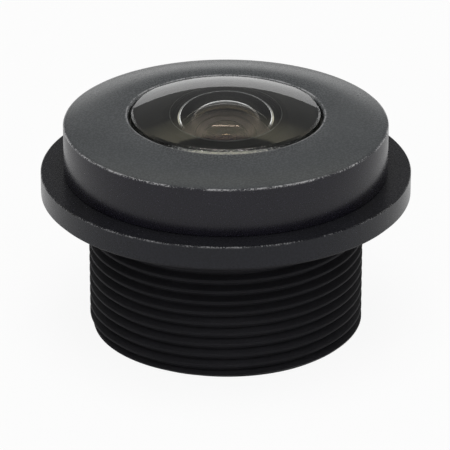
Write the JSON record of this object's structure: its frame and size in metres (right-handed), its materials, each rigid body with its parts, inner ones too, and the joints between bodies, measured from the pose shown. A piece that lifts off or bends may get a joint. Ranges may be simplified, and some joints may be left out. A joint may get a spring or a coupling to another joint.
{
  "type": "s-mount lens",
  "caption": "Wide-angle board-camera lens: threaded barrel with a flange, screw-on cone-faced front cap, domed front glass and a stack of lenses, spacers and a stop inside.",
  "frame": {"origin": "centre of the barrel's rear face, which the lens stands on", "axes": "+Z along the optical axis towards the scene; X and Y are square to it"},
  "size_m": [0.016, 0.016, 0.0106],
  "materials": {
    "barrel_anodised": "black anodised over a fine blasted and turned surface",
    "cap_anodised": "black anodised over a fine blasted surface, worn at its edges",
    "ring_anodised": "matt black anodised",
    "black_film": "matt black film",
    "gasket_film": "dull black film",
    "seal_rubber": "smooth black rubber",
    "coated_glass": "polished, broadband coated, with a blackened edge",
    "inner_glass": "polished and coated",
    "dense_glass": "polished dense glass",
    "filter_glass": "polished, with an interference coating"
  },
  "bodies": {
    "barrel": {"barrel": "barrel_anodised", "seal_ring": "seal_rubber", "front_lens": "coated_glass", "front_baffle": "black_film", "front_spacer": "ring_anodised", "second_lens": "inner_glass", "middle_spacer": "ring_anodised", "third_lens": "inner_glass", "aperture_stop": "black_film", "stop_spacer": "ring_anodised", "doublet_front_lens": "inner_glass", "doublet_rear_lens": "dense_glass", "rear_baffle": "black_film", "rear_spacer": "ring_anodised", "rear_lens": "inner_glass", "infrared_filter": "filter_glass"},
    "gasket": {"front_gasket": "gasket_film"},
    "front_cap": {"front_cap": "cap_anodised"},
    "washer": {"filter_washer": "gasket_film"},
    "rear_retainer": {"rear_retainer": "ring_anodised"}
  },
  "joints": [
    {"name": "front_cap_lift", "type": "slide", "parent": "barrel", "child": "gasket", "axis": [0, 0, 1], "range_m": [0, 0.0015]},
    {"name": "front_cap_turn", "type": "hinge", "parent": "gasket", "child": "front_cap", "pos_m": [0, 0, 0.008], "axis": [0, 0, 1], "range_deg": [0, 1080]},
    {"name": "rear_retainer_drop", "type": "slide", "parent": "barrel", "child": "washer", "axis": [0, 0, -1], "range_m": [0, 0.00125]},
    {"name": "rear_retainer_turn", "type": "hinge", "parent": "washer", "child": "rear_retainer", "pos_m": [0, 0, 0.0007], "axis": [0, 0, -1], "range_deg": [0, 900]}
  ],
  "couplings": [
    {"joint": "front_cap_turn", "follows": "front_cap_lift", "rad_per_m": 12566},
    {"joint": "rear_retainer_turn", "follows": "rear_retainer_drop", "rad_per_m": 12566}
  ]
}
